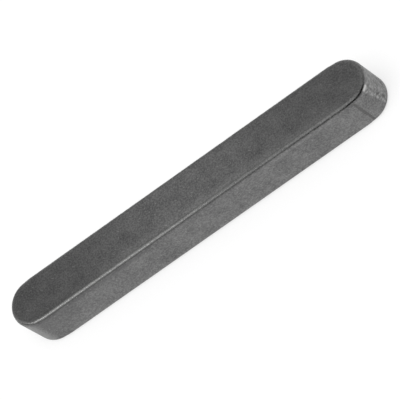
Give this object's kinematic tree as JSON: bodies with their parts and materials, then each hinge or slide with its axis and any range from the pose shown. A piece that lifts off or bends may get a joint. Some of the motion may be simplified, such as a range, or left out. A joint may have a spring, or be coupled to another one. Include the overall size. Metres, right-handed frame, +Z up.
{
  "type": "parallel key",
  "caption": "Straight steel machine key with a square section, half-round ends and broken edges, which locks a hub to a shaft.",
  "frame": {"origin": "centre of the lower face, which seats in the shaft's keyway", "axes": "+X along the length, +Y across the flanks, +Z up from the shaft face to the hub face"},
  "size_m": [0.05, 0.006, 0.006],
  "materials": {
    "key_steel": "dull dark grey drawn steel, lightly oiled, with a fine tumbled speckle, edges burnished brighter and a dark cutter mark across one shoulder"
  },
  "bodies": {
    "root": {"key": "key_steel"}
  },
  "joints": []
}
